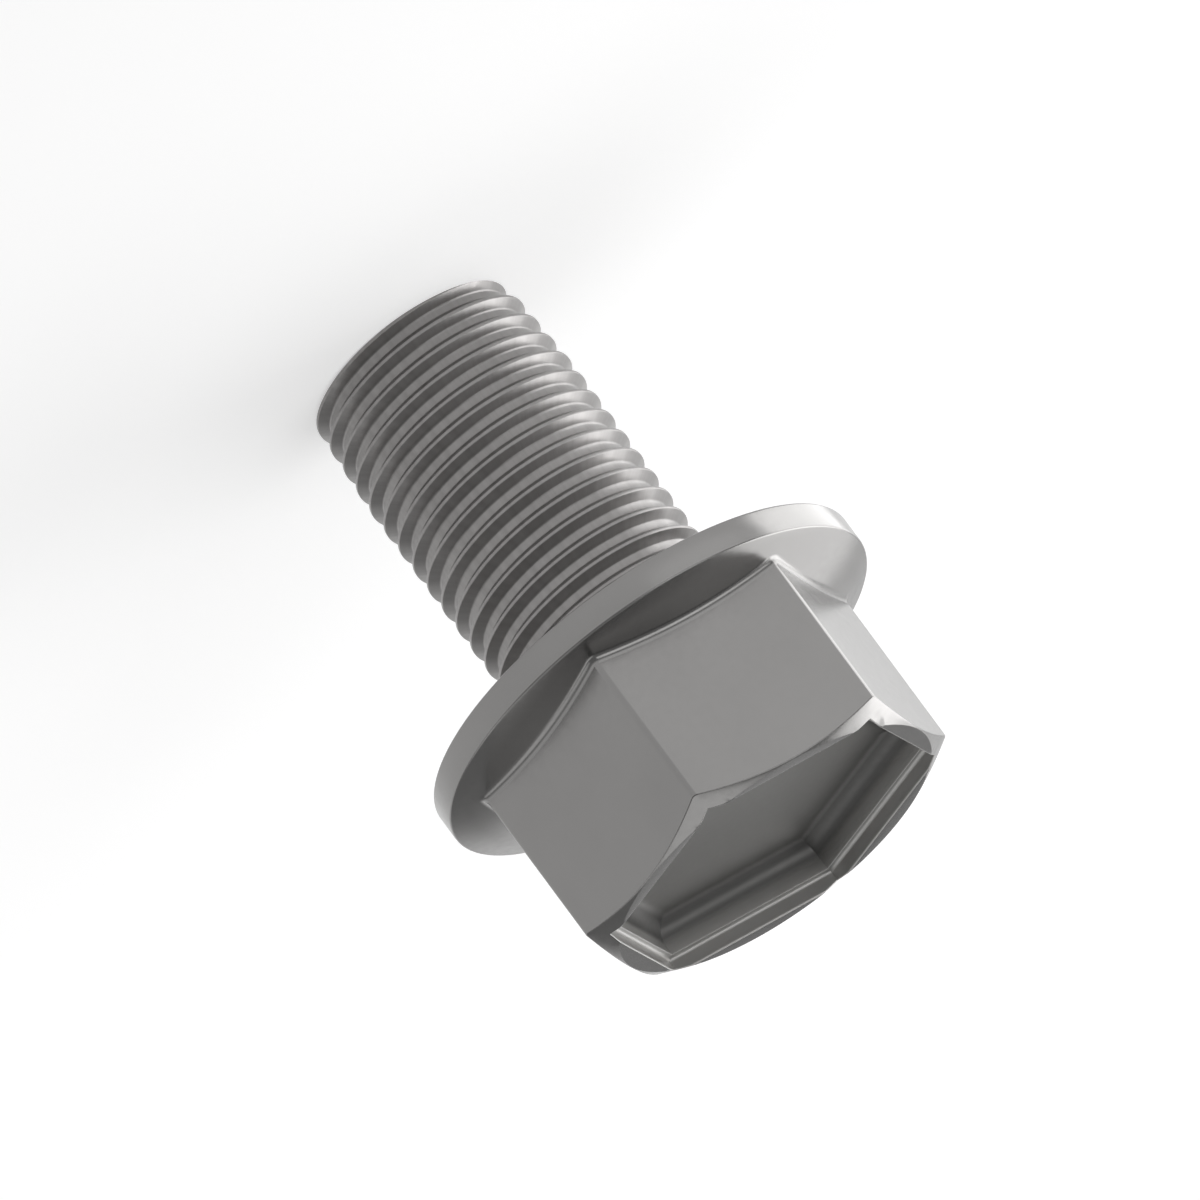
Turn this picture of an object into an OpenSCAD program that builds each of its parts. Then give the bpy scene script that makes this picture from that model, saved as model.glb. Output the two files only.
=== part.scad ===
// Hex washer head screw: a hexagon head with a hexagon pocket in its top, a round
// flange below the head, and a fully threaded shank that tapers a little at its end.
// Millimetres. The axis is Z, the flat end of the shank stands on z = 0, the head is up.

/* [Head] */
// distance across the flats of the outer hexagon
head_af = 14.7; // [12:0.1:18]
// height of the head from the bearing face to its top land
head_h = 9.3; // [7:0.1:14]
// rounding of the six vertical edges
head_edge_r = 0.28; // [0.16:0.02:0.6]
// how far the chamfer's upper circle lies inside the flats
chamfer_in = 0.05; // [0.02:0.01:0.4]
// slope of the chamfer cone below the top land, in degrees
chamfer_deg = 30; // [20:1:40]

/* [Pocket in the head] */
// wall between the outer flats and the pocket's flats
pocket_wall = 0.77; // [0.6:0.01:2]
// depth of the pocket's floor below the top land
pocket_depth = 2.07; // [1.7:0.01:4]
// depth of the narrow ledge below the top land
ledge_depth = 0.7; // [0.4:0.01:0.9]
// how far the ledge stands in from the pocket's wall
ledge_w = 0.26; // [0.2:0.01:0.5]
// hollow rounding between the upper wall and the ledge
ledge_r = 0.15; // [0.08:0.01:0.18]
// hollow rounding between the lower wall and the floor
floor_r = 0.9; // [0.4:0.02:0.96]
// rounding of the pocket's rim
rim_r = 0.08; // [0.04:0.01:0.15]

/* [Flange] */
// how far the flange reaches out past the hexagon's sharp corners
flange_out = 1.26; // [0.8:0.02:4]
// height of the flange's straight rim
flange_rim_h = 1.21; // [0.8:0.01:2]
// slope of the flange's top, in degrees
flange_deg = 17; // [8:1:22]
// rounding of the rim's two edges
flange_edge_r = 0.12; // [0.05:0.01:0.3]
// hollow rounding between the hexagon and the flange
neck_r = 0.38; // [0.2:0.02:0.6]

/* [Thread] */
// outside diameter of the thread
thread_d = 9.78; // [8:0.02:11]
// distance from one turn to the next
thread_pitch = 1; // [0.8:0.05:1.5]
// length of the shank from its end to the bearing face
shank_l = 15.9; // [10:0.1:30]
// angle between the two flanks, in degrees
flank_deg = 60; // [50:1:70]
// length of the tapered end
taper_l = 4.1; // [2:0.1:8]
// how much smaller the radius is at the end face
taper_r = 0.25; // [0.05:0.01:0.35]
// direction of the crest at the end face, in degrees about the axis
thread_turn = -98; // [-180:1:180]
// length of the plain collar between the thread and the bearing face
collar_l = 0.4; // [0.2:0.05:1]

/* [Hidden] */

// fineness of the round shapes, and of the hollows and roundings
round_fn = 96;
thread_fn = 60;
turn_steps = 36;
edge_steps = 3;
floor_steps = 7;
neck_steps = 5;
flat_steps = 8;

// how far joined shapes run into each other, how far a hollow's lip is sunk, and how
// far the collar stands proud of the thread
past = 0.5;
sunk = 0.01;
proud = 0.03;

// head
head_a = head_af / 2;
head_corner = head_a / cos(30);
head_z = shank_l + head_h;
edge_centre = head_corner - head_edge_r / cos(30);
chamfer_r = head_a - chamfer_in;
chamfer_t = tan(chamfer_deg);

// pocket: distances from the axis to its flats
pocket_a = head_a - pocket_wall;
lower_a = pocket_a - ledge_w;

// flange
flange_r = head_corner + flange_out;
flange_t = tan(flange_deg);
cone_in = head_a - 1;

// thread: the flat crest is an eighth of the pitch and the flat root three eighths
crest_w = thread_pitch / 8;
root_w = thread_pitch * 3 / 8;
thread_r = thread_d / 2;
flank_t = tan(flank_deg / 2);
thread_depth = (thread_pitch - crest_w - root_w) / 2 / flank_t;
groove_out = 0.8 * crest_w / 2 / flank_t;
groove_rings = ceil((shank_l / thread_pitch + 3) * turn_steps);

// Points of an arc in a plane: centre, radius, first and last angle, number of steps.
function arc(c, r, a, b, n) =
    [for (i = [0:n]) c + r * [cos(a + (b - a) * i / n), sin(a + (b - a) * i / n)]];

// The hexagon's outline with rounded corners, anticlockwise, two flats parallel to X.
function head_outline() =
    [for (i = [0:5])
        each arc(edge_centre * [cos(60 * i), sin(60 * i)], head_edge_r,
                 60 * i - 30, 60 * i + 30, edge_steps)];

// Height of the flange's conical top at a distance from the axis.
function flange_top(r) = shank_l + flange_rim_h + (flange_r - r) * flange_t;

// How much smaller the thread's radius is at a height, because of the tapered end.
function shrink(z) = taper_r * max(0, taper_l - z) / taper_l;

// Prism of the head, cut by the chamfer cone and flat on top.
module head_body() {
    low = shank_l + flange_rim_h / 2;
    wide = head_corner + 1;
    intersection() {
        translate([0, 0, low])
            linear_extrude(head_z - low)
                polygon(head_outline());
        rotate_extrude($fn = round_fn)
            polygon([
                [0, low - past],
                [wide, low - past],
                [wide, head_z - (wide - chamfer_r) * chamfer_t],
                [chamfer_r, head_z],
                [0, head_z],
            ]);
    }
}

// Section of the pocket: distance from the axis to a flat, and height.
function pocket_section() = concat(
    [[0, head_z + past], [pocket_a + rim_r, head_z + past]],
    arc([pocket_a + rim_r, head_z - rim_r], rim_r, 90, 180, edge_steps),
    arc([pocket_a - ledge_r, head_z - ledge_depth + ledge_r], ledge_r, 0, -90, edge_steps),
    arc([lower_a - floor_r, head_z - pocket_depth + floor_r], floor_r, 0, -90, floor_steps),
    [[0, head_z - pocket_depth]]);

// Six-sided pocket with a narrow ledge, a hollow foot and a flat floor.
module pocket() {
    rotate_extrude($fn = 6)
        polygon([for (p = pocket_section()) [p[0] / cos(30), p[1]]]);
}

// Round flange: flat below, with a straight rim and a conical top.
module flange() {
    e = flange_edge_r;
    top = shank_l + flange_rim_h;
    turned = 90 - flange_deg;
    rotate_extrude($fn = round_fn)
        polygon(concat(
            [[0, shank_l]],
            arc([flange_r - e, shank_l + e], e, -90, 0, edge_steps),
            arc([flange_r - e, top - e * tan(turned / 2)], e, 0, turned, edge_steps),
            [[cone_in, flange_top(cone_in)], [0, flange_top(cone_in)]]));
}

// Stations of the neck: points along the hexagon's outline, each with the way outwards.
function stations() =
    let (o = head_outline(), n = len(o), each_corner = edge_steps + 1)
    [for (i = [0:n - 1])
        let (k = i % each_corner, turn = 60 * floor(i / each_corner) - 30)
        let (a = turn + 60 * k / edge_steps, q = o[(i + 1) % n])
        for (j = [0:(k == edge_steps ? flat_steps : 1) - 1])
            [o[i] + (q - o[i]) * j / flat_steps, [cos(a), sin(a)]]];

// Outline of the neck at one station: a hollow quarter that runs from the hexagon's wall
// to the flange's cone, closed behind them.
function neck_ring(s) =
    let (p = s[0], n = s[1], c = p + neck_r * n)
    let (m = flange_t * (c * n) / norm(c))
    let (zc = flange_top(norm(c)) + neck_r * sqrt(1 + m * m))
    let (pts = arc([neck_r, zc], neck_r, 180, 270 - atan(m), neck_steps))
    let (end = pts[neck_steps], back = head_edge_r / 2, low = end[1] - neck_r)
    let (line = concat(
        [[-back, zc], [-sunk, zc]],
        [for (i = [1:neck_steps - 1]) pts[i]],
        [end - [0, sunk], [end[0], low], [-back, low]]))
    [for (q = line) [p[0] + n[0] * q[0], p[1] + n[1] * q[0], q[1]]];

// Hollow rounding all round the foot of the hexagon.
module neck() {
    rings = [for (s = stations()) neck_ring(s)];
    n = len(rings);
    size = len(rings[0]);
    faces = [for (i = [0:n - 1], j = [0:size - 1])
        let (a = i * size, b = ((i + 1) % n) * size, k = (j + 1) % size)
        each [[a + j, b + j, a + k], [a + k, b + j, b + k]]];
    polyhedron([for (r = rings) each r], faces);
}

// One ring of the cutter that makes the groove: a trapezium across the thread.
function groove_ring(i) =
    let (turn = i / turn_steps, z = thread_pitch * (turn - 1))
    let (a = 360 * turn + thread_turn, r = thread_r - shrink(z))
    let (half_out = (thread_pitch - crest_w) / 2 + groove_out * flank_t)
    let (section = [[r + groove_out, -half_out], [r + groove_out, half_out],
                    [r - thread_depth, root_w / 2], [r - thread_depth, -root_w / 2]])
    [for (q = section) [q[0] * cos(a), q[0] * sin(a), z + thread_pitch / 2 + q[1]]];

// Helical cutter, longer than the shank at both ends.
module groove() {
    rings = [for (i = [0:groove_rings]) groove_ring(i)];
    n = len(rings);
    size = len(rings[0]);
    sides = [for (i = [0:n - 2], j = [0:size - 1])
        let (a = i * size, b = a + size, k = (j + 1) % size)
        each [[a + j, a + k, b + j], [a + k, b + k, b + j]]];
    caps = [[for (j = [size - 1:-1:0]) j], [for (j = [0:size - 1]) (n - 1) * size + j]];
    polyhedron([for (r = rings) each r], concat(sides, caps));
}

// Threaded shank: a rod with a slightly tapered end, less the helical groove, and a
// short plain collar where the thread runs out below the head.
module shank() {
    translate([0, 0, shank_l - collar_l])
        cylinder(h = collar_l + past, r = thread_r + proud, $fn = thread_fn);
    difference() {
        union() {
            translate([0, 0, taper_l])
                cylinder(h = shank_l - taper_l + past, r = thread_r, $fn = thread_fn);
            cylinder(h = taper_l, r1 = thread_r - taper_r, r2 = thread_r, $fn = thread_fn);
        }
        groove();
    }
}

module screw() {
    color([0.66, 0.66, 0.65])
        union() {
            difference() {
                union() {
                    flange();
                    neck();
                    head_body();
                }
                pocket();
            }
            shank();
        }
}

screw();
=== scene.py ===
"""Dressed model and studio of a hex washer head screw.

The screw stands on the flat end of its shank: the axis is Z, the head is up. Sizes are
written in millimetres, as in the part's source, and become metres when the mesh is done.
"""
import logging
import math
from dataclasses import dataclass, field
from enum import Enum
from typing import Sequence

import bmesh
import bpy
from mathutils import Matrix, Vector


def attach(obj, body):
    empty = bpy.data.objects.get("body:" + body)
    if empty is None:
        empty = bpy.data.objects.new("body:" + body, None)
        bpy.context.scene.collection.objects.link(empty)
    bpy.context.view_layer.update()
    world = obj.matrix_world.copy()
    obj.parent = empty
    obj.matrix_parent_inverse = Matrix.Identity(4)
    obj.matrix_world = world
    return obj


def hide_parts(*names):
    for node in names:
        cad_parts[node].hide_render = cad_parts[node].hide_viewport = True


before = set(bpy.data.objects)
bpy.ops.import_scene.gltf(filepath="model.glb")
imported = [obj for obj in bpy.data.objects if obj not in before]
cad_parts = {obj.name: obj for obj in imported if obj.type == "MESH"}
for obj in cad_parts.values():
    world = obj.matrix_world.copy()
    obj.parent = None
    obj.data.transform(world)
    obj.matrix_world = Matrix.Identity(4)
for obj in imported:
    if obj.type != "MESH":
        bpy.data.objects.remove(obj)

log = logging.getLogger("screw")

MM = 0.001
# two places, or two directions in radians, that are closer than this are one
SAME = 0.001


class Seen(Enum):
    """What a lamp shines on."""

    EVERYTHING = "everything"
    SCREW_ONLY = "screw only"


class Zone(Enum):
    """Parts of the skin with different materials, some with painted light; the value is the slot.
    """

    BODY = 0
    THREAD = 1
    EDGE = 2
    POCKET = 3


def linear(code: str) -> tuple[float, float, float, float]:
    """Turn an sRGB hex colour into linear light.

    Args:
        code: Six hex digits, with or without a leading hash.

    Returns:
        Red, green, blue and an alpha of one.
    """
    digits = code.lstrip("#")
    parts = [int(digits[i:i + 2], 16) / 255 for i in (0, 2, 4)]
    r, g, b = (c / 12.92 if c <= 0.04045 else ((c + 0.055) / 1.055) ** 2.4 for c in parts)
    return r, g, b, 1.0


def add_node(tree: bpy.types.NodeTree, kind: str, inputs: dict | None = None,
             **settings: object) -> bpy.types.Node:
    """Add a node with its settings, values and links.

    Args:
        tree: Tree that the node joins.
        kind: Blender's name of the node's type.
        inputs: Input name or number to a value, or to the output socket that feeds it.
        settings: Properties of the node.

    Returns:
        The new node.
    """
    node = tree.nodes.new(kind)
    for name, value in settings.items():
        setattr(node, name, value)
    for key, value in (inputs or {}).items():
        if isinstance(value, bpy.types.NodeSocket):
            tree.links.new(value, node.inputs[key])
        else:
            node.inputs[key].default_value = value
    return node


def polar(radius: float, angle: float, z: float) -> Vector:
    """Point at a distance and an angle in radians about the axis, at a height."""
    return Vector((radius * math.cos(angle), radius * math.sin(angle), z))


def arc(centre: tuple[float, float], radius: float, first: float, last: float,
        steps: int) -> list[tuple[float, float]]:
    """Points of an arc in a section.

    Args:
        centre: Middle of the arc.
        radius: Its radius.
        first: Angle of the first point, in degrees.
        last: Angle of the last point, in degrees.
        steps: Number of parts.

    Returns:
        The points, one more than there are parts.
    """
    turns = [math.radians(first + (last - first) * i / steps) for i in range(steps + 1)]
    return [(centre[0] + radius * math.cos(t), centre[1] + radius * math.sin(t)) for t in turns]


def rounded(start: tuple[float, float], corner: tuple[float, float], end: tuple[float, float],
            steps: int) -> list[tuple[float, float]]:
    """Points of a soft edge that leaves and meets its two sides in line with them.

    Args:
        start: Where the first side ends.
        corner: Where the two sides would meet.
        end: Where the second side begins.
        steps: Number of parts.

    Returns:
        The points, one more than there are parts.
    """
    made = []
    for i in range(steps + 1):
        t = i / steps
        a, b, c = (1 - t) ** 2, 2 * t * (1 - t), t * t
        made.append((a * start[0] + b * corner[0] + c * end[0],
                     a * start[1] + b * corner[1] + c * end[1]))
    return made


@dataclass
class Skin:
    """A closed ring of vertices that grows over a shape, row by row."""

    mesh: bmesh.types.BMesh
    ring: list[bmesh.types.BMVert]
    edges: list[bmesh.types.BMEdge]

    def grow(self, places: Sequence[Vector]) -> None:
        """Extrude the ring once and move the new row to its places.

        Args:
            places: One point for each vertex of the ring, in order.
        """
        made = bmesh.ops.extrude_edge_only(self.mesh, edges=self.edges)["geom"]
        fresh = {v for v in made if isinstance(v, bmesh.types.BMVert)}
        row = [next(e.other_vert(v) for e in v.link_edges if e.other_vert(v) in fresh)
               for v in self.ring]
        for vert, place in zip(row, places):
            vert.co = place
        self.edges = [e for e in made if isinstance(e, bmesh.types.BMEdge)
                      and e.verts[0] in fresh and e.verts[1] in fresh]
        self.ring = row

    def close(self) -> None:
        """Cap the ring with one flat face."""
        bmesh.ops.contextual_create(self.mesh, geom=self.edges)


@dataclass
class Thread:
    """Rolled right-hand thread with a slightly tapered end."""

    diameter: float = 9.78
    pitch: float = 1.0
    length: float = 15.5
    flank_deg: float = 60.0
    crest_share: float = 1 / 8
    root_share: float = 3 / 8
    crest_round: float = 0.035
    root_round: float = 0.11
    taper_length: float = 4.1
    taper: float = 0.25
    crest_at_deg: float = -98.0
    steps: int = 120
    weld: float = 0.0001

    @property
    def radius(self) -> float:
        """Radius of the crests."""
        return self.diameter / 2

    @property
    def root(self) -> float:
        """Radius of the roots."""
        rise = self.pitch * (1 - self.crest_share - self.root_share) / 2
        return self.radius - rise / math.tan(math.radians(self.flank_deg / 2))

    def soften(self, mesh: bmesh.types.BMesh, radius: float, rounding: float, steps: int) -> None:
        """Round the profile's corners that lie at one radius.

        Args:
            mesh: Mesh that holds the profile as a chain of edges.
            radius: Distance of the corners from the axis.
            rounding: Radius of the rounding.
            steps: Parts of each rounding.
        """
        corners = [v for v in mesh.verts
                   if abs(v.co.x - radius) < SAME and len(v.link_edges) == 2]
        turned = math.radians(90 - self.flank_deg / 2)
        bmesh.ops.bevel(mesh, geom=corners + list({e for v in corners for e in v.link_edges}),
                        offset=rounding * math.tan(turned / 2), offset_type="OFFSET",
                        segments=steps, profile=0.5, affect="VERTICES", clamp_overlap=False,
                        material=-1)

    def build(self) -> bmesh.types.BMesh:
        """Spin the profile up the axis, taper its end and cut it to length.

        Returns:
            The thread, with its end face closed and its top open.
        """
        mesh = bmesh.new()
        lead = -self.crest_at_deg / 360 * self.pitch
        half_crest = self.crest_share * self.pitch / 2
        half_open = (1 - self.root_share) * self.pitch / 2
        last = None
        for k in range(-2, math.ceil(self.length / self.pitch) + 1):
            z = lead + k * self.pitch
            for r, dz in ((self.root, -half_open), (self.radius, -half_crest),
                          (self.radius, half_crest), (self.root, half_open)):
                vert = mesh.verts.new((r, 0, z + dz))
                if last:
                    mesh.edges.new((last, vert))
                last = vert
        self.soften(mesh, self.radius, self.crest_round, 3)
        self.soften(mesh, self.root, self.root_round, 4)
        bmesh.ops.spin(mesh, geom=mesh.verts[:] + mesh.edges[:], cent=(0, 0, 0), axis=(0, 0, 1),
                       dvec=(0, 0, self.pitch / self.steps), angle=math.tau, steps=self.steps)
        bmesh.ops.remove_doubles(mesh, verts=mesh.verts[:], dist=self.weld)
        for vert in mesh.verts:
            if vert.co.z < self.taper_length:
                r = vert.co.xy.length
                less = self.taper * (self.taper_length - vert.co.z) / self.taper_length
                vert.co.x *= (r - less) / r
                vert.co.y *= (r - less) / r
        for z, way in ((0.0, -1), (self.length, 1)):
            bmesh.ops.bisect_plane(mesh, geom=mesh.verts[:] + mesh.edges[:] + mesh.faces[:],
                                   dist=self.weld / 10, plane_co=(0, 0, z), plane_no=(0, 0, way),
                                   clear_outer=True)
        end = [e for e in mesh.edges if e.is_boundary and max(v.co.z for v in e.verts) < SAME]
        bmesh.ops.triangle_fill(mesh, edges=end, use_beauty=False, normal=(0, 0, -1))
        return mesh


@dataclass
class Flange:
    """Round washer face that is one with the head."""

    reach: float = 1.26
    rim: float = 1.21
    slope_deg: float = 17.0
    edge_round: float = 0.1

    def surface(self, outer: float, base: float, radius: float) -> float:
        """Height of the conical top.

        Args:
            outer: Radius of the rim.
            base: Height of the bearing face.
            radius: Distance from the axis.

        Returns:
            The height.
        """
        return base + self.rim + (outer - radius) * math.tan(math.radians(self.slope_deg))

    def section(self, outer: float, base: float) -> list[tuple[float, float]]:
        """Section from the bearing face round the rim to the start of the cone.

        Args:
            outer: Radius of the rim.
            base: Height of the bearing face.

        Returns:
            Distances from the axis and heights.
        """
        e = self.edge_round
        turned = 90 - self.slope_deg
        top = base + self.rim - e * math.tan(math.radians(turned / 2))
        return (arc((outer - e, base + e), e, -90, 0, 4)
                + arc((outer - e, top), e, 0, turned, 4))


@dataclass
class Pocket:
    """Six-sided hollow in the head's top."""

    wall: float = 0.77
    depth: float = 2.07
    ledge: float = 0.70
    ledge_width: float = 0.26
    ledge_round: float = 0.15
    lip_round: float = 0.03
    floor_round: float = 0.9
    floor_border: float = 0.3
    rim_round: float = 0.08

    def section(self, apothem: float, top: float) -> list[tuple[float, float]]:
        """Section below the rim.

        Args:
            apothem: Distance from the axis to the pocket's flats.
            top: Height of the head's land.

        Returns:
            Distances from the axis to a flat, and heights.
        """
        low = apothem - self.ledge_width
        lip = self.lip_round
        r = self.ledge_round
        f = self.floor_round
        return (arc((apothem - r, top - self.ledge + r), r, 0, -90, 5)
                + arc((low + lip, top - self.ledge - lip), lip, 90, 180, 3)
                + arc((low - f, top - self.depth + f), f, 0, -90, 12)
                + [(low - f - self.floor_border, top - self.depth)])


@dataclass
class Head:
    """Hexagon with a chamfered top, a pocket in it and a flange at its foot."""

    across_flats: float = 14.7
    height: float = 9.3
    base: float = 15.9
    corner_round: float = 0.28
    chamfer_in: float = 0.05
    chamfer_deg: float = 30.0
    chamfer_round: float = 0.08
    neck_round: float = 0.38
    collar: float = 0.4
    collar_radius: float = 4.92
    collar_round: float = 0.06
    least_land: float = 0.03
    flat_parts: int = 28
    corner_parts: int = 6
    flange: Flange = field(default_factory=Flange)
    pocket: Pocket = field(default_factory=Pocket)

    @property
    def apothem(self) -> float:
        """Distance from the axis to the flats."""
        return self.across_flats / 2

    @property
    def corner(self) -> float:
        """Distance from the axis to the sharp corners."""
        return self.apothem / math.cos(math.pi / 6)

    @property
    def outer(self) -> float:
        """Radius of the flange."""
        return self.corner + self.flange.reach

    @property
    def top(self) -> float:
        """Height of the land round the pocket."""
        return self.base + self.height

    def outline(self, mesh: bmesh.types.BMesh) -> list[bmesh.types.BMVert]:
        """Make the hexagon with rounded corners as a ring of edges.

        Args:
            mesh: Empty mesh that takes the ring.

        Returns:
            Its vertices, in order about the axis.
        """
        ring = bmesh.ops.create_circle(mesh, segments=6, radius=self.corner)["verts"]
        bmesh.ops.rotate(mesh, verts=ring, cent=(0, 0, 0),
                         matrix=Matrix.Rotation(math.radians(30), 3, "Z"))
        bmesh.ops.bevel(mesh, geom=ring + mesh.edges[:], offset_type="OFFSET",
                        offset=self.corner_round * math.tan(math.pi / 6), profile=0.5,
                        segments=self.corner_parts, affect="VERTICES", clamp_overlap=False,
                        material=-1)
        flats = [e for e in mesh.edges if e.calc_length() > self.apothem / 2]
        bmesh.ops.subdivide_edges(mesh, edges=flats, cuts=self.flat_parts - 1)
        return sorted(mesh.verts, key=lambda v: math.atan2(v.co.y, v.co.x) % math.tau)

    def outwards(self, place: Vector) -> Vector:
        """Way outwards from the hexagon.

        Args:
            place: Point of its outline.

        Returns:
            A level unit vector.
        """
        sixth = math.pi / 3
        nearest = round(math.atan2(place.y, place.x) / sixth) * sixth
        centre = polar(self.corner - self.corner_round / math.cos(math.pi / 6), nearest, 0)
        away = Vector((place.x - centre.x, place.y - centre.y, 0))
        turn = (math.atan2(away.y, away.x) - nearest + math.pi) % math.tau - math.pi
        if abs(turn) < math.pi / 6 + SAME:
            return away.normalized()
        return polar(1, nearest + math.copysign(math.pi / 6, turn), 0)

    def off_flat(self, angle: float) -> float:
        """Angle between a direction about the axis and the middle of the nearest flat."""
        sixth = math.pi / 3
        return angle - (math.floor(angle / sixth) + 0.5) * sixth

    def collar_section(self) -> list[tuple[float, float]]:
        """Section of the plain collar between the thread and the bearing face.

        Returns:
            Distances from the axis and heights.
        """
        r, e = self.collar_radius, self.collar_round
        low = self.base - self.collar
        return arc((r - e, low + e), e, -90, 0, 3) + [(r, self.base)]

    def top_height(self, radius: float) -> float:
        """Height of the land or of the chamfer's cone at a distance from the axis."""
        past = max(0.0, radius - self.apothem + self.chamfer_in)
        return self.top - past * math.tan(math.radians(self.chamfer_deg))

    def foot_rows(self, place: Vector) -> list[Vector]:
        """Follow the surface from the collar round the flange to the hexagon's foot.

        Args:
            place: Point of the hexagon's outline.

        Returns:
            One point for each row of the skin.
        """
        out, r = self.outwards(place), self.neck_round
        wall = place.xy.to_3d()
        middle = wall + out * r
        slope = math.tan(math.radians(self.flange.slope_deg)) * middle.dot(out) / middle.length
        lean = math.degrees(math.atan(slope))
        rise = (self.flange.surface(self.outer, self.base, middle.length)
                + r * math.hypot(1, slope))
        neck = [wall + out * x + Vector((0, 0, z))
                for x, z in arc((r, rise), r, 270 - lean, 180, 7)]
        around = math.atan2(neck[0].y, neck[0].x)
        rows = [polar(x, around, z) for x, z in self.collar_section()
                + self.flange.section(self.outer, self.base)]
        cone = rows[-1].lerp(neck[0], 0.5)
        cone.z = self.flange.surface(self.outer, self.base, cone.xy.length)
        return rows + [cone] + neck

    def top_rows(self, place: Vector) -> list[Vector]:
        """Follow the surface from the chamfer over the rim to the pocket's floor.

        Args:
            place: Point of the hexagon's outline.

        Returns:
            One point for each row of the skin.
        """
        angle = math.atan2(place.y, place.x)
        edge = place.xy.length
        t = self.chamfer_round * math.tan(math.pi / 6)
        inner = edge - t * math.cos(math.radians(self.chamfer_deg))
        high = self.top_height(edge)
        off = self.off_flat(angle)
        apothem = self.apothem - self.pocket.wall
        rim = apothem / math.cos(off)
        land = rim + self.pocket.rim_round
        fold = max(self.apothem - self.chamfer_in, land + self.least_land)
        half = (inner + fold) / 2
        section = rounded((edge, high - t), (edge, high), (inner, self.top_height(inner)), 4)
        section += [(half, self.top_height(half)), (fold, self.top_height(fold))]
        section += rounded((land, self.top_height(land)), (rim, self.top_height(rim)),
                           (rim, self.top_height(rim) - self.pocket.rim_round), 8)
        section += [(x / math.cos(off), z) for x, z in self.pocket.section(apothem, self.top)]
        return [polar(x, angle, z) for x, z in section]

    def build(self) -> bmesh.types.BMesh:
        """Grow the collar, the flange, the hexagon and the pocket from one ring.

        Returns:
            The head, with the pocket's floor closed and the collar's foot open.
        """
        mesh = bmesh.new()
        ring = self.outline(mesh)
        first, *rows = zip(*[self.foot_rows(v.co) + self.top_rows(v.co) for v in ring])
        for vert, place in zip(ring, first):
            vert.co = place
        skin = Skin(mesh, ring, mesh.edges[:])
        for row in rows:
            skin.grow(row)
        skin.close()
        return mesh


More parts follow.
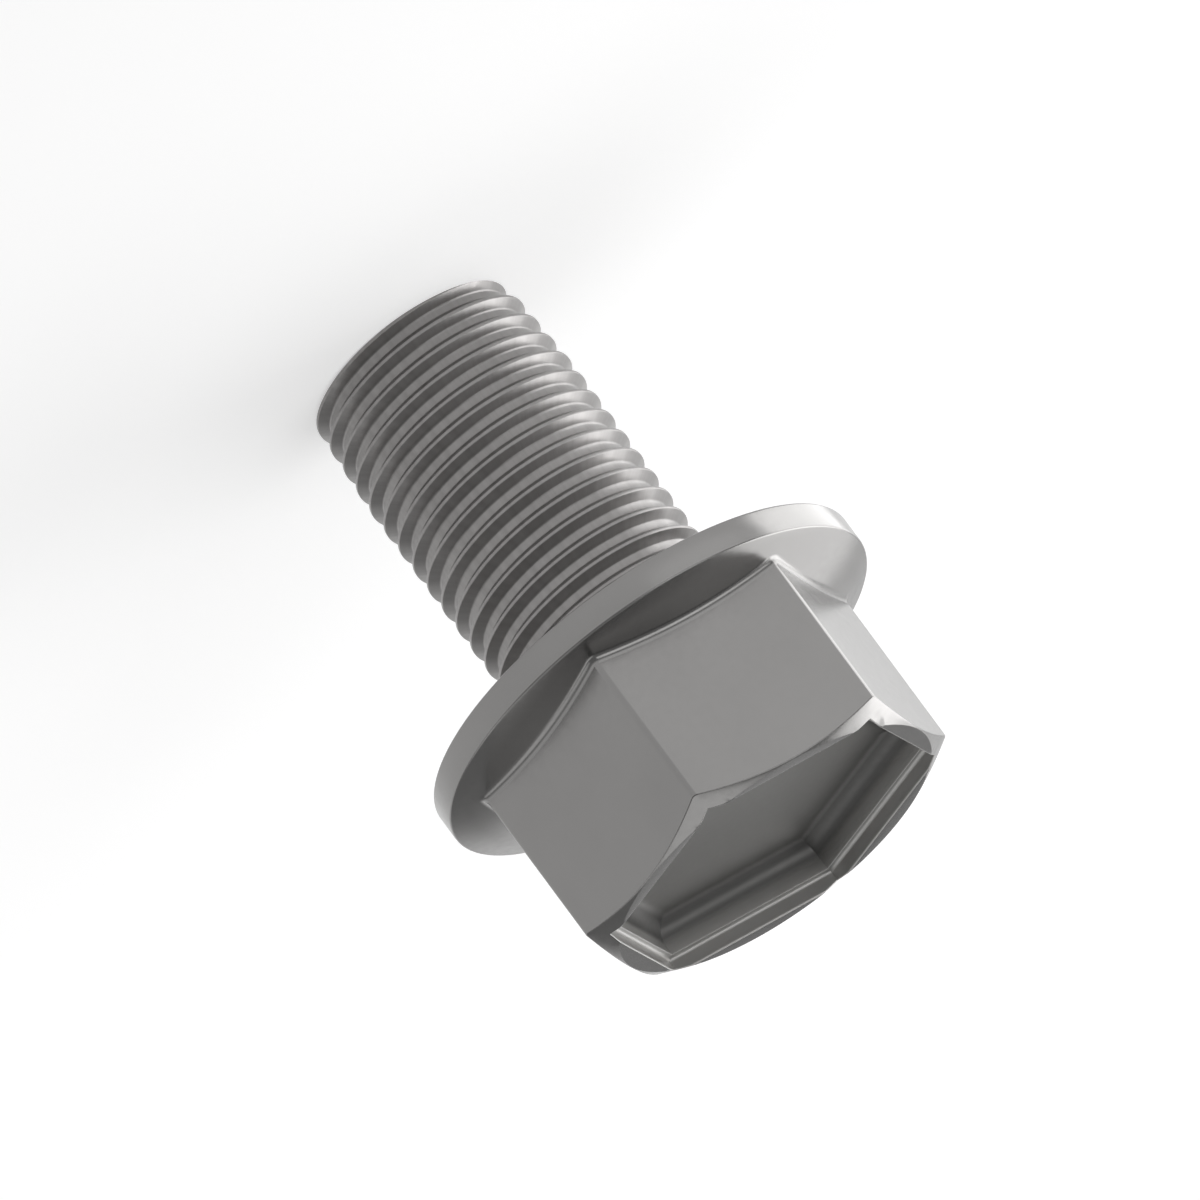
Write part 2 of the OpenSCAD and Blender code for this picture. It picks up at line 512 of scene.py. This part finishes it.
@dataclass(frozen=True)
class ColdFormedSteel:
    """Plain steel of the head, struck cold in polished dies, with a satin sheen.

    The dies leave an even, slightly grainy skin: reflections are soft and the tone is calm.
    """

    name: str = "cold-formed steel"
    tone: str = "#8A8988"
    shade: str = "#828180"
    metallic: float = 1.0
    roughness: float = 0.23
    grain_mm: float = 0.35
    line_mm: float = 0.12
    line_share: float = 0.08
    cloud_mm: float = 4.0
    bump_mm: float = 0.0008
    rough_spread: float = 0.03
    streaks: float = 0.0
    streak_rad: float = 0.1

    def paint_shade(self, tree: bpy.types.NodeTree, height: bpy.types.NodeSocket,
              colour: bpy.types.NodeSocket) -> bpy.types.NodeSocket:
        """Leave the colour as it is; a finish with painted shade darkens it here.

        Args:
            tree: Tree of the material.
            height: Height on the screw, in metres.
            colour: Colour before any painted shade.

        Returns:
            The colour to use.
        """
        return colour

    def paint(self, tree: bpy.types.NodeTree, place: bpy.types.NodeSocket,
              level: bpy.types.NodeSocket, height: bpy.types.NodeSocket) -> bpy.types.NodeSocket:
        """Vary the tone in broad clouds, and in streaks where the finish has them, and add the
        finish's painted shade.

        Args:
            tree: Tree of the material.
            place: Place on the screw.
            level: The same place without its height.
            height: Its height alone.

        Returns:
            The colour.
        """
        # broad, weak clouds in the tone, a few millimetres across
        blend = add_node(tree, "ShaderNodeTexNoise",
                         {"Vector": place, "Scale": 1 / (self.cloud_mm * MM),
                          "Detail": 2.0}).outputs[0]
        if self.streaks:
            # faint streaks across the flanks, where the rolls slid: half a millimetre wide
            # at the thread's radius, so a tenth of a radian
            spoke = add_node(tree, "ShaderNodeVectorMath", {0: level},
                             operation="NORMALIZE").outputs[0]
            streak = add_node(tree, "ShaderNodeTexNoise",
                              {"Vector": spoke, "Scale": 1 / self.streak_rad, "Detail": 3.0,
                               "Roughness": 0.6}).outputs[0]
            mark = add_node(tree, "ShaderNodeMapRange",
                            {"Value": streak, "From Min": 0.35, "From Max": 0.65,
                             "To Min": -self.streaks, "To Max": self.streaks}).outputs[0]
            blend = add_node(tree, "ShaderNodeMath", {0: blend, 1: mark}, operation="ADD",
                             use_clamp=True).outputs[0]
        # inputs 6 and 7 of the mix are its two colours
        tone = add_node(tree, "ShaderNodeMix", {0: blend, 6: linear(self.shade),
                                                7: linear(self.tone)}, data_type="RGBA")
        return self.paint_shade(tree, height, next(s for s in tone.outputs if s.type == "RGBA"))

    def make(self) -> bpy.types.Material:
        """Make the material.

        Returns:
            The material, under the finish's name.
        """
        material = bpy.data.materials.new(self.name)
        material.use_nodes = True
        tree = material.node_tree
        tree.nodes.clear()
        place = add_node(tree, "ShaderNodeTexCoord").outputs["Object"]
        height = add_node(tree, "ShaderNodeSeparateXYZ", {0: place}).outputs["Z"]
        level = add_node(tree, "ShaderNodeVectorMath", {0: place, 1: (1.0, 1.0, 0.0)},
                         operation="MULTIPLY").outputs[0]
        away = add_node(tree, "ShaderNodeVectorMath", {0: level},
                        operation="LENGTH").outputs["Value"]
        # distance from the axis and height, for lines that run round the screw
        round_it = add_node(tree, "ShaderNodeCombineXYZ", {"X": away, "Z": height}).outputs[0]
        # the skin of the dies: a fine grain, about a third of a millimetre
        grain = add_node(tree, "ShaderNodeTexNoise",
                         {"Vector": place, "Scale": 1 / (self.grain_mm * MM), "Detail": 3.0,
                          "Roughness": 0.6}).outputs[0]
        # rolled and turned lines, drawn coarser than the real ones so that they show
        lines = add_node(tree, "ShaderNodeTexNoise",
                         {"Vector": round_it, "Scale": 1 / (self.line_mm * MM),
                          "Detail": 2.0, "Roughness": 0.5}).outputs[0]
        rough = add_node(tree, "ShaderNodeMapRange",
                         {"Value": grain, "From Min": 0.3, "From Max": 0.7,
                          "To Min": self.roughness - self.rough_spread,
                          "To Max": self.roughness + self.rough_spread}).outputs[0]
        rise = add_node(tree, "ShaderNodeMath", {0: lines, 1: self.line_share, 2: grain},
                        operation="MULTIPLY_ADD").outputs[0]
        bump = add_node(tree, "ShaderNodeBump", {"Height": rise, "Strength": 1.0,
                                                 "Distance": self.bump_mm * MM}).outputs[0]
        shader = add_node(tree, "ShaderNodeBsdfPrincipled",
                          {"Base Color": self.paint(tree, place, level, height),
                           "Metallic": self.metallic, "Roughness": rough, "Normal": bump})
        add_node(tree, "ShaderNodeOutputMaterial", {"Surface": shader.outputs[0]})
        return material


@dataclass(frozen=True)
class RolledThreadSteel(ColdFormedSteel):
    """Steel of the thread, pressed between rolls.

    The rolls leave fine lines along the thread and faint streaks across its flanks, and a
    thin film of their oil scatters a little of the light, so it looks duller than the head.
    """

    name: str = "thread-rolled steel"
    tone: str = "#969493"
    shade: str = "#868483"
    metallic: float = 0.72
    roughness: float = 0.32
    line_share: float = 0.6
    bump_mm: float = 0.0004
    streaks: float = 0.35


@dataclass(frozen=True)
class PaintedHighlightSteel(ColdFormedSteel):
    """Steel of the six upright edges, given a lighter tone as a painted highlight."""

    name: str = "edge steel with painted highlight"
    # painted highlight: the edges' tone is much lighter than the head's
    tone: str = "#B8B7B5"
    shade: str = "#AEADAB"
    roughness: float = 0.2


@dataclass(frozen=True)
class PunchedSteel(ColdFormedSteel):
    """Steel of the pocket, duller than the outside.

    Its walls are given a lighter tone than the head's steel, as painted light, and its floor a
    little and the hollow between the walls and the floor a lot darker, as painted shade.
    """

    name: str = "punched steel"
    # painted light: the pocket's tone is much lighter than the head's steel
    tone: str = "#AFAEAC"
    shade: str = "#A6A5A3"
    metallic: float = 0.88
    roughness: float = 0.38
    line_share: float = 0.0
    floor_mm: float = 23.13
    # painted shade: how much of the tone the floor and the hollow keep, and where the hollow's
    # shade is full, thins and ends, in mm above the floor
    floor_shade_share: float = 0.57
    hollow_shade_share: float = 0.26
    hollow_shade_full_mm: float = 0.1
    hollow_shade_thins_mm: float = 0.6
    hollow_shade_ends_mm: float = 0.95

    def paint_shade(self, tree: bpy.types.NodeTree, height: bpy.types.NodeSocket,
              colour: bpy.types.NodeSocket) -> bpy.types.NodeSocket:
        """Paint shade: darken the floor a little and the hollow at its edge a lot.

        Args:
            tree: Tree of the material.
            height: Height on the screw, in metres.
            colour: Colour before the painted shade.

        Returns:
            The darkened colour.
        """
        # painted shade: about half the tone on the floor, about a quarter in the hollow up to 0.6
        # mm above it, the full tone from 0.95 mm up the walls
        film = add_node(tree, "ShaderNodeMapRange",
                        {"Value": height, "From Min": self.floor_mm * MM,
                         "From Max": (self.floor_mm + self.hollow_shade_full_mm) * MM,
                         "To Min": self.floor_shade_share, "To Max": self.hollow_shade_share},
                        interpolation_type="SMOOTHSTEP").outputs[0]
        shade_lift = add_node(tree, "ShaderNodeMapRange",
                         {"Value": height, "From Min": (self.floor_mm + self.hollow_shade_thins_mm) * MM,
                          "From Max": (self.floor_mm + self.hollow_shade_ends_mm) * MM,
                          "To Min": 0.0, "To Max": 1 - self.hollow_shade_share},
                         interpolation_type="SMOOTHSTEP").outputs[0]
        share = add_node(tree, "ShaderNodeMath", {0: film, 1: shade_lift}, operation="ADD").outputs[0]
        shaded = add_node(tree, "ShaderNodeMix", {0: 1.0, 6: colour, 7: share},
                           data_type="RGBA", blend_type="MULTIPLY")
        return next(s for s in shaded.outputs if s.type == "RGBA")


@dataclass
class Screw:
    """The whole screw as one closed skin."""

    head: Head = field(default_factory=Head)
    thread: Thread = field(default_factory=Thread)
    finishes: dict[Zone, ColdFormedSteel] = field(default_factory=lambda: {
        Zone.BODY: ColdFormedSteel(), Zone.THREAD: RolledThreadSteel(),
        Zone.EDGE: PaintedHighlightSteel(), Zone.POCKET: PunchedSteel()})
    highlight_deg: float = 10.0
    crease_deg: float = 24.0

    def zone(self, place: Vector) -> Zone:
        """Tell which zone of materials a place lies in.

        Args:
            place: Middle of a face, in millimetres.

        Returns:
            The zone it lies in.
        """
        head = self.head
        away = place.xy.length
        # the upright edges' roundings, out past this radius, get the painted highlight
        bright = (head.corner - head.corner_round / math.cos(math.pi / 6)
                  + head.corner_round * math.cos(math.radians(self.highlight_deg)))
        if SAME < place.z < self.thread.length and away < head.collar_radius:
            return Zone.THREAD
        if away > bright and place.z > head.base + head.height / 3:
            return Zone.EDGE
        # the pocket's faces get its painted light and shade
        inside = away * math.cos(head.off_flat(math.atan2(place.y, place.x)))
        wall = head.apothem - head.pocket.wall + head.pocket.rim_round / 2
        if inside < wall and place.z > head.top - head.pocket.depth - SAME:
            return Zone.POCKET
        return Zone.BODY

    def build(self) -> bpy.types.Object:
        """Make the mesh and join the thread to the head.

        Returns:
            The piece, in metres.
        """
        data = bpy.data.meshes.new("screw_skin")
        thread = self.thread.build()
        thread.to_mesh(data)
        thread.free()
        mesh = self.head.build()
        mesh.from_mesh(data)
        bmesh.ops.triangle_fill(mesh, edges=[e for e in mesh.edges if e.is_boundary],
                                use_beauty=False, normal=(0, 0, -1))
        bmesh.ops.recalc_face_normals(mesh, faces=mesh.faces[:])
        for face in mesh.faces:
            face.material_index = self.zone(face.calc_center_median()).value
        bmesh.ops.scale(mesh, verts=mesh.verts[:], vec=(MM, MM, MM))
        loose = sum(not e.is_manifold for e in mesh.edges)
        log.info("screw: %d faces, %d open edges, %.1f mm3", len(mesh.faces), loose,
                 mesh.calc_volume() / MM ** 3)
        piece = bpy.data.objects.new("screw_skin", data)
        mesh.to_mesh(data)
        mesh.free()
        data.shade_smooth()
        data.set_sharp_from_angle(angle=math.radians(self.crease_deg))
        bpy.context.collection.objects.link(piece)
        weigh = piece.modifiers.new("flat sides stay flat", "WEIGHTED_NORMAL")
        weigh.keep_sharp = True
        weigh.weight = 80
        return piece

    def dress(self, piece: bpy.types.Object) -> None:
        """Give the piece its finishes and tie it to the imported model.

        Args:
            piece: What build made.
        """
        for zone in Zone:
            piece.data.materials.append(self.finishes[zone].make())
        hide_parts("screw")
        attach(piece, "root")


@dataclass
class SoftBox:
    """Rectangular lamp with a wide, even face that looks at the screw."""

    name: str
    azimuth: float
    elevation: float
    distance: float
    width: float
    height: float
    level: float
    aim_height: float = 14.0
    on: Seen = Seen.EVERYTHING

    def build(self, lit: bpy.types.Collection) -> bpy.types.Object:
        """Hang the lamp.

        Args:
            lit: Collection that holds the screw alone.

        Returns:
            The lamp.
        """
        lamp = bpy.data.lights.new(self.name, "AREA")
        lamp.shape = "RECTANGLE"
        lamp.size = self.width * MM
        lamp.size_y = self.height * MM
        # an even face of this radiance: power over pi times its area
        lamp.energy = self.level * math.pi * lamp.size * lamp.size_y
        box = bpy.data.objects.new(self.name, lamp)
        a, e = math.radians(self.azimuth), math.radians(self.elevation)
        away = Vector((math.cos(a) * math.cos(e), math.sin(a) * math.cos(e), math.sin(e)))
        box.location = (Vector((0, 0, self.aim_height)) + away * self.distance) * MM
        box.rotation_euler = away.to_track_quat("Z", "Y").to_euler()
        box.visible_camera = False
        bpy.context.collection.objects.link(box)
        if self.on is Seen.SCREW_ONLY:
            box.light_linking.receiver_collection = lit
        return box


@dataclass
class Studio:
    """Pale floor, soft lamps, even surroundings and the camera of the photograph."""

    floor_tone: str = "#E6E6E6"
    floor_glow: float = 0.45
    floor_half_mm: float = 1500.0
    floor_below_mm: float = 0.01
    surround: float = 0.30
    horizon: float = 0.70
    horizon_full: float = 0.12
    horizon_ends: float = 0.42
    frame_mm: float = 46.5
    camera_away: float = 200.0
    camera_at: tuple[float, float, float] = (0.1362, -1.0843, 13.0317)
    right: tuple[float, float, float] = (-0.82455, -0.09411, 0.55789)
    up: tuple[float, float, float] = (-0.45608, -0.47295, -0.75387)
    back: tuple[float, float, float] = (0.33480, -0.87605, 0.34705)
    boxes: list[SoftBox] = field(default_factory=lambda: [
        SoftBox("key", azimuth=-114, elevation=46, distance=240, width=130, height=100,
                level=1.4),
        SoftBox("top", azimuth=70, elevation=74, distance=240, width=130, height=130,
                level=1.0),
        SoftBox("left", azimuth=25, elevation=44, distance=230, width=130, height=110,
                level=0.8),
        SoftBox("high", azimuth=152, elevation=39, distance=150, width=150, height=103,
                level=1.75),
        SoftBox("strip", azimuth=183, elevation=0, distance=33, width=36, height=60,
                level=2.0, aim_height=30, on=Seen.SCREW_ONLY),
        SoftBox("front", azimuth=-116, elevation=0, distance=45, width=38, height=30,
                level=0.22, aim_height=15, on=Seen.SCREW_ONLY),
    ])

    def lay_floor(self) -> bpy.types.Object:
        """Lay a wide white floor that keeps the screw's shadow.

        Returns:
            The floor.
        """
        mesh = bmesh.new()
        bmesh.ops.create_grid(mesh, x_segments=1, y_segments=1,
                              size=self.floor_half_mm * MM)
        bmesh.ops.translate(mesh, verts=mesh.verts[:], vec=(0, 0, -self.floor_below_mm * MM))
        data = bpy.data.meshes.new("floor")
        mesh.to_mesh(data)
        mesh.free()
        floor = bpy.data.objects.new("floor", data)
        bpy.context.collection.objects.link(floor)
        material = bpy.data.materials.new("white paper")
        material.use_nodes = True
        tree = material.node_tree
        tree.nodes.clear()
        path = add_node(tree, "ShaderNodeLightPath").outputs
        seen = add_node(tree, "ShaderNodeMath", {0: path["Is Camera Ray"],
                                                 1: path["Is Glossy Ray"]},
                        operation="MAXIMUM").outputs[0]
        seen = add_node(tree, "ShaderNodeMath", {0: seen, 1: path["Is Transmission Ray"]},
                        operation="MAXIMUM").outputs[0]
        glow = add_node(tree, "ShaderNodeMath", {0: seen, 1: self.floor_glow},
                        operation="MULTIPLY").outputs[0]
        shine = add_node(tree, "ShaderNodeEmission", {"Strength": glow}).outputs[0]
        paper = add_node(tree, "ShaderNodeBsdfDiffuse",
                         {"Color": linear(self.floor_tone)}).outputs[0]
        both = add_node(tree, "ShaderNodeAddShader", {0: shine, 1: paper}).outputs[0]
        add_node(tree, "ShaderNodeOutputMaterial", {"Surface": both})
        data.materials.append(material)
        return floor

    def set_surroundings(self) -> None:
        """Light the room: pale down by the floor, dim and even above."""
        world = bpy.data.worlds.new("room")
        bpy.context.scene.world = world
        world.use_nodes = True
        tree = world.node_tree
        tree.nodes.clear()
        way = add_node(tree, "ShaderNodeTexCoord").outputs["Generated"]
        rise = add_node(tree, "ShaderNodeSeparateXYZ", {0: way}).outputs["Z"]
        level = add_node(tree, "ShaderNodeMapRange",
                         {"Value": rise, "From Min": self.horizon_full,
                          "From Max": self.horizon_ends,
                          "To Min": self.surround + self.horizon, "To Max": self.surround},
                         interpolation_type="SMOOTHSTEP").outputs[0]
        shine = add_node(tree, "ShaderNodeBackground", {"Color": linear("#FFFFFF"),
                                                        "Strength": level})
        add_node(tree, "ShaderNodeOutputWorld", {"Surface": shine.outputs[0]})

    def place_camera(self) -> bpy.types.Object:
        """Set the camera as in the photograph: a parallel view, turned about its own axis.

        Returns:
            The camera.
        """
        lens = bpy.data.cameras.new("camera")
        lens.type = "ORTHO"
        lens.ortho_scale = self.frame_mm * MM
        lens.clip_start = 0.01
        lens.clip_end = 5.0
        camera = bpy.data.objects.new("camera", lens)
        axes = Matrix((self.right, self.up, self.back)).transposed()
        at = (Vector(self.camera_at) + Vector(self.back) * self.camera_away) * MM
        camera.matrix_world = Matrix.Translation(at) @ axes.to_4x4()
        bpy.context.collection.objects.link(camera)
        bpy.context.scene.camera = camera
        return camera

    def build(self, piece: bpy.types.Object) -> None:
        """Set up the floor, the room, the lamps and the camera.

        Args:
            piece: The screw, which some lamps light alone.
        """
        lit = bpy.data.collections.new("lit alone")
        lit.objects.link(piece)
        self.lay_floor()
        self.set_surroundings()
        for box in self.boxes:
            box.build(lit)
        self.place_camera()
        bpy.context.scene.view_settings.view_transform = "Standard"


def main() -> None:
    """Build the screw and its studio."""
    logging.basicConfig(level=logging.INFO, format="%(message)s")
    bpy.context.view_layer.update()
    screw = Screw()
    piece = screw.build()
    screw.dress(piece)
    log.info("screw: dressed")
    Studio().build(piece)
    log.info("studio: ready")
    bpy.context.view_layer.update()


if __name__ == "__main__":
    main()
